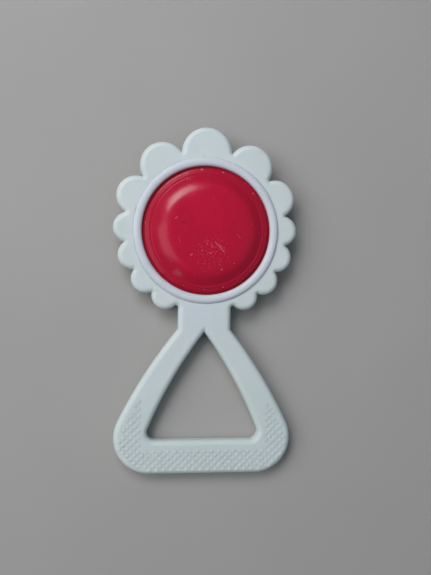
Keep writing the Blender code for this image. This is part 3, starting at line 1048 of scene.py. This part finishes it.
class Finish:
    """A Principled material that is built up from procedural patterns."""

    def __init__(self, name):
        self.material = bpy.data.materials.new(name)
        self.material.use_nodes = True
        self.tree = self.material.node_tree
        self.shader = self.tree.nodes["Principled BSDF"]
        self.place = add_node(self.tree, "ShaderNodeTexCoord").outputs["Object"]

    def noise(self, scale, detail, place=None):
        """Smooth random patches from 0 to 1, scale of them to the metre."""
        where = self.place if place is None else place
        inputs = {"Vector": where, "Scale": scale, "Detail": detail}
        return add_node(self.tree, "ShaderNodeTexNoise", inputs).outputs[0]

    def hairlines(self, turn, scale):
        """Fine lines that run one way."""
        inputs = {"Vector": self.place, "Rotation": (0.0, 0.0, turn), "Scale": HAIRLINE_STRETCH}
        place = add_node(self.tree, "ShaderNodeMapping", inputs).outputs[0]
        return self.ramp(self.noise(scale, HAIRLINE_DETAIL, place), *HAIRLINE_RANGE)

    def ramp(self, value, low, high, out_low=0.0, out_high=1.0):
        """A value stretched softly from one range to another and held at its ends."""
        inputs = {
            "Value": value,
            "From Min": low,
            "From Max": high,
            "To Min": out_low,
            "To Max": out_high,
        }
        return add_node(
            self.tree, "ShaderNodeMapRange", inputs, interpolation_type="SMOOTHSTEP"
        ).outputs[0]

    def mix(self, share, first, second):
        """Two colours mixed by a share."""
        return add_node(
            self.tree, "ShaderNodeMix", {0: share, 6: first, 7: second}, data_type="RGBA"
        ).outputs[2]

    def mottled(self, pattern, base, shade):
        """A base colour with soft patches of its shade."""
        return self.mix(self.ramp(self.noise(*pattern), *MIDDLE), base, shade)

    def sheen(self, pattern, roughness):
        """Roughness that wanders between two values."""
        return self.ramp(self.noise(*pattern), *WIDE_MIDDLE, *roughness)

    def level(self):
        """Each point's place in plan."""
        return vectors(self.tree, "MULTIPLY", self.place, (1.0, 1.0, 0.0))

    def head_radius(self):
        """Distance from the drum's axis."""
        return vectors(self.tree, "DISTANCE", self.level(), (0.0, DRUM_Y, 0.0))

    def near(self, start, end, reach, edge):
        """1 within a reach of the line between two points, in plan, falling to 0 past an edge."""
        tree = self.tree
        way = Vector((end[0] - start[0], end[1] - start[1], 0.0))
        offset = vectors(tree, "SUBTRACT", self.level(), (start[0], start[1], 0.0))
        length = max(way.length_squared, SAME_POINT**2)
        along = vectors(tree, "DOT_PRODUCT", offset, tuple(way / length))
        held = add_node(tree, "ShaderNodeClamp", {"Value": along}).outputs[0]
        on_line = vectors(tree, "MULTIPLY", joined(tree, held, held, held), tuple(way))
        distance = vectors(tree, "DISTANCE", offset, on_line)
        return self.ramp(distance, reach, reach + edge, 1.0, 0.0)

    def on_front(self, value):
        """A pattern on the front only."""
        height = parts_of(self.tree, self.place)[2]
        return times(self.tree, value, maths(self.tree, "GREATER_THAN", height, 0.0))

    def use(self, name, value):
        """Link a pattern to a shader input, or set it."""
        if isinstance(value, bpy.types.NodeSocket):
            self.tree.links.new(value, self.shader.inputs[name])
        else:
            self.shader.inputs[name].default_value = value

    def relief(self, heights):
        """Fine bumps from (pattern, height in metres) pairs."""
        normal = None
        for value, height in heights:
            inputs = {"Strength": 1.0, "Distance": height, "Height": value}
            if normal is not None:
                inputs["Normal"] = normal
            normal = add_node(self.tree, "ShaderNodeBump", inputs).outputs[0]
        self.use("Normal", normal)


def white_plastic(name, base, shade, dirt_and_shade):
    """Satin moulded white: faint mottling, a fine moulded skin, hairlines, dust, dirt and painted
    shade in the groove, painted shade down the grip and a painted bluish reflection on the neck.
    """
    finish = Finish(name)
    tree = finish.tree
    colour = finish.mottled(WHITE_MOTTLE, base, shade)
    # Painted shade: darker and a little greener down the grip.
    grip = finish.ramp(parts_of(tree, finish.place)[1], *GRIP_PAINTED_SHADE_FROM_TO, GRIP_PAINTED_SHADE_SHARE, 0.0)
    colour = finish.mix(grip, colour, GRIP_PAINTED_SHADE)
    # Painted reflection and shade: bluish and darker down the middle of the neck.
    neck = times(tree, finish.near(*NECK_PAINTED_REFLECTION_LINE, *NECK_PAINTED_REFLECTION_REACH), NECK_PAINTED_REFLECTION_SHARE)
    colour = finish.mix(neck, colour, NECK_PAINTED_REFLECTION)
    dust = finish.ramp(finish.noise(*WHITE_DUST), *WHITE_DUST_RANGE)
    colour = finish.mix(dust, colour, dirt_and_shade)
    # Dirt and painted shade in patches along the groove round the bezel.
    radius = finish.head_radius()
    groove = times(
        tree, finish.ramp(radius, *GROOVE_INNER), finish.ramp(radius, *GROOVE_OUTER, 1.0, 0.0)
    )
    groove_dirt_and_shade = finish.ramp(finish.noise(*GROOVE_DIRT_AND_SHADE), *GROOVE_DIRT_AND_SHADE_RANGE)
    colour = finish.mix(times(tree, groove, groove_dirt_and_shade), colour, dirt_and_shade)
    finish.use("Base Color", colour)
    finish.use("Roughness", finish.sheen(WHITE_SHEEN, WHITE_ROUGHNESS))
    heights = [
        (finish.noise(*WHITE_SKIN), WHITE_SKIN_HEIGHT),
        (finish.noise(*WHITE_WAVES), WHITE_WAVES_HEIGHT),
    ]
    for turn, scale in HAIRLINES:
        heights.append((finish.hairlines(turn, scale), HAIRLINE_HEIGHT))
    finish.relief(heights)
    finish.use("Subsurface Weight", TRANSLUCENCY)
    finish.use("Subsurface Radius", LIGHT_TRAVEL)
    finish.use("Subsurface Scale", LIGHT_DEPTH)
    return finish.material


def dome_wear(finish):
    """Share of worn surface on the front dome: scratches, dots, a worn spot and a chipped rim."""
    tree = finish.tree
    drum = Vector(DRUM)
    wear = 0.0
    for start, end, reach, strength in SCRATCHES:
        line = finish.near(drum + Vector(start), drum + Vector(end), reach, SCRATCH_EDGE)
        wear = maths(tree, "MAXIMUM", wear, times(tree, line, strength))
    dots = finish.noise(*RED_DOTS)
    spot = drum + Vector(WORN_SPOT)
    many = times(tree, finish.ramp(dots, *MANY_DOTS_RANGE), finish.near(spot, spot, *WORN_REACH))
    few = finish.ramp(dots, *FEW_DOTS_RANGE)
    wear = maths(tree, "MAXIMUM", wear, maths(tree, "MAXIMUM", many, few))
    rim = finish.ramp(finish.head_radius(), *CHIPPED_FROM_TO)
    chips = finish.ramp(finish.noise(*RED_CHIPS), *RED_CHIPS_RANGE)
    return finish.on_front(maths(tree, "MAXIMUM", wear, times(tree, rim, chips)))


def red_plastic():
    """Glossy crimson: painted shade darkens it from the shoulder outwards, with hairlines,
    scratches, specks, chips and a dark streak.
    """
    finish = Finish("red_drum_plastic")
    tree = finish.tree
    colour = finish.mottled(RED_MOTTLE, RED_BASE, RED_SHADE)
    # Painted shade: darker red from the shoulder outwards.
    shoulder = finish.ramp(finish.head_radius(), *SHOULDER_PAINTED_SHADE_RANGE)
    colour = finish.mix(shoulder, colour, RED_SHOULDER_PAINTED_SHADE)
    # A dark streak, on the front only.
    dark_streak_line = [Vector(DRUM) + Vector(point) for point in DARK_STREAK]
    dark_streak = finish.on_front(finish.near(*dark_streak_line, *DARK_STREAK_REACH))
    colour = finish.mix(times(tree, dark_streak, DARK_STREAK_SHARE), colour, RED_DARK_STREAK)
    wear = dome_wear(finish)
    finish.use("Base Color", finish.mix(wear, colour, RED_WORN))
    gloss = finish.sheen(RED_SHEEN, RED_ROUGHNESS)
    finish.use("Roughness", maths(tree, "ADD", gloss, times(tree, wear, WORN_ROUGHNESS)))
    waves = (finish.noise(*RED_WAVES), RED_WAVES_HEIGHT)
    skin = (finish.noise(*RED_SKIN), RED_SKIN_HEIGHT)
    finish.relief([waves, skin])
    return finish.material


def pellet_plastic():
    """Plain moulded yellow, a little uneven."""
    finish = Finish("yellow_pellet_plastic")
    finish.use("Base Color", finish.mottled(PELLET_MOTTLE, PELLET_BASE, PELLET_SHADE))
    finish.use("Roughness", finish.sheen(PELLET_SHEEN, PELLET_ROUGHNESS))
    finish.relief([(finish.noise(*PELLET_SKIN), PELLET_SKIN_HEIGHT)])
    return finish.material


def floor_material():
    """Matt and pale, with broad faint patches."""
    finish = Finish("pale_floor")
    finish.use("Base Color", finish.mix(finish.noise(*FLOOR_PATCHES), FLOOR_BASE, FLOOR_SHADE))
    finish.use("Roughness", FLOOR_ROUGHNESS)
    return finish.material


# ---- Pieces ----


def place_piece(name, mesh, body, slot, *nodes):
    """Add a finished piece that rides on a body and stands for CAD nodes."""
    piece = new_piece(name, mesh)
    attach(piece, body)
    if nodes:
        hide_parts(*nodes)
    return piece


def turned(lathe, name, profile, centre, steps, material):
    """Mesh of a profile turned about an upright line through a centre."""
    sizes = {"Centre": centre, "Turn Steps": steps, "Material": material}
    mesh = grown(name, profile_mesh(profile), lathe, sizes)
    return finished_mesh(outward(mesh), material)


def build_half(end, side, lathe, white, bezel_white, red):
    """The moulding, bezel and dome of the front or the back."""
    centre = (0.0, DRUM_Y, 0.0)
    moulding = finished_mesh(frame_moulding(side), white)
    place_piece(f"{end}_frame_moulding", moulding, "rattle", "white_plastic", f"{end}_frame")

    name = f"{end}_bezel_ring"
    profile = sided(bezel_profile(), side)
    bezel = turned(lathe, name, profile, centre, TURN_STEPS, bezel_white)
    place_piece(name, bezel, "rattle", "bezel_plastic", f"{end}_bezel")

    name = f"{end}_dome_cap"
    profile = sided(dome_profile(), side)
    dome = turned(lathe, name, profile, centre, TURN_STEPS, red)
    place_piece(name, dome, "rattle", "red_plastic", f"{end}_dome")


def build_bumps(white):
    """The bumps on both faces of the grip."""
    sizes = {label: value for label, (_, value) in BUMP_INPUTS.items()}
    sizes["Material"] = white
    bumps = grown("grip_bumps", patch_mesh(), bump_tree(), sizes)
    place_piece("grip_bumps", bumps, "rattle", "white_plastic")


def build_pellets(lathe):
    """The loose pellets, each on its own body."""
    yellow = pellet_plastic()
    for body, nodes in frame["record"]["behaviour"]["bodies"].items():
        for node in nodes:
            if not node.startswith("pellet_"):
                continue
            low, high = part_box(node)
            name = f"{node}_ball"
            middle = tuple((low + high) / 2)
            ball = turned(lathe, name, pellet_profile(), middle, PELLET_STEPS, yellow)
            place_piece(name, ball, body, "pellet_plastic", node)


def build_rattle():
    """Every piece of the rattle."""
    white = white_plastic("white_moulding_plastic", MOULDING_BASE, MOULDING_SHADE, MOULDING_DIRT_AND_SHADE)
    bezel_white = white_plastic("white_bezel_plastic", BEZEL_BASE, BEZEL_SHADE, BEZEL_DIRT_AND_SHADE)
    red = red_plastic()
    lathe = lathe_tree()
    for end, side in (("front", 1), ("back", -1)):
        build_half(end, side, lathe, white, bezel_white, red)
    build_bumps(white)
    build_pellets(lathe)


# ---- Floor, light and camera ----


def resting_plane():
    """Height at the origin, and rise along -Y, of the floor under the dome and the bar."""
    bar_y = BUMP_FIRST_ROW_Y
    bar_z = FACE_Z + BUMP_HEIGHT
    slopes = []
    for k in range(REST_STEPS):
        radius = BRIM_RADIUS * k / REST_STEPS
        slopes.append((dome_surface(radius) - bar_z) / (DRUM_Y - radius - bar_y))
    slope = max(slopes)
    return -bar_z + slope * bar_y, slope


def add_floor():
    """A wide plain floor that the back of the rattle rests on."""
    height, slope = resting_plane()
    half = FLOOR_SIZE / 2
    mesh = bpy.data.meshes.new("floor")
    corners = [(-half, -half), (half, -half), (half, half), (-half, half)]
    mesh.from_pydata([(x, y, height - slope * y) for x, y in corners], [], [(0, 1, 2, 3)])
    mesh.materials.append(floor_material())
    new_piece("floor", mesh)


def add_window(name, bearing, rise, distance, size, power, colour, mirrored):
    """A soft rectangular light that faces the drum, and may be kept out of the gloss."""
    lamp = bpy.data.lights.new(name, "AREA")
    lamp.shape = "RECTANGLE"
    lamp.size, lamp.size_y = size
    lamp.energy = power
    lamp.color = colour
    turn = math.radians(bearing)
    lift = math.radians(rise)
    flat = math.cos(lift)
    way = Vector((math.cos(turn) * flat, math.sin(turn) * flat, math.sin(lift)))
    light = bpy.data.objects.new(name, lamp)
    light.location = Vector((0.0, DRUM_Y, 0.0)) + way * distance
    light.visible_glossy = mirrored
    light.rotation_euler = way.to_track_quat("Z", "Y").to_euler()
    bpy.context.scene.collection.objects.link(light)


def add_room():
    """The same soft light from all round."""
    world = bpy.data.worlds.new("soft_room")
    world.use_nodes = True
    background = world.node_tree.nodes["Background"]
    background.inputs["Color"].default_value = ROOM_COLOUR
    background.inputs["Strength"].default_value = ROOM_STRENGTH
    bpy.context.scene.world = world


def add_camera():
    """A camera above the rattle, a little to its left."""
    lens = bpy.data.cameras.new("camera")
    lens.lens = LENS
    lens.sensor_width = SENSOR
    lens.clip_start = NEAREST
    camera = bpy.data.objects.new("camera", lens)
    camera.location = CAMERA_AT
    camera.rotation_euler = Euler([math.radians(a) for a in CAMERA_TURN])
    bpy.context.scene.collection.objects.link(camera)
    bpy.context.scene.camera = camera


build_rattle()
add_floor()
for light_row in LIGHTS:
    add_window(*light_row)
add_room()
add_camera()
bpy.context.scene.view_settings.view_transform = "Standard"
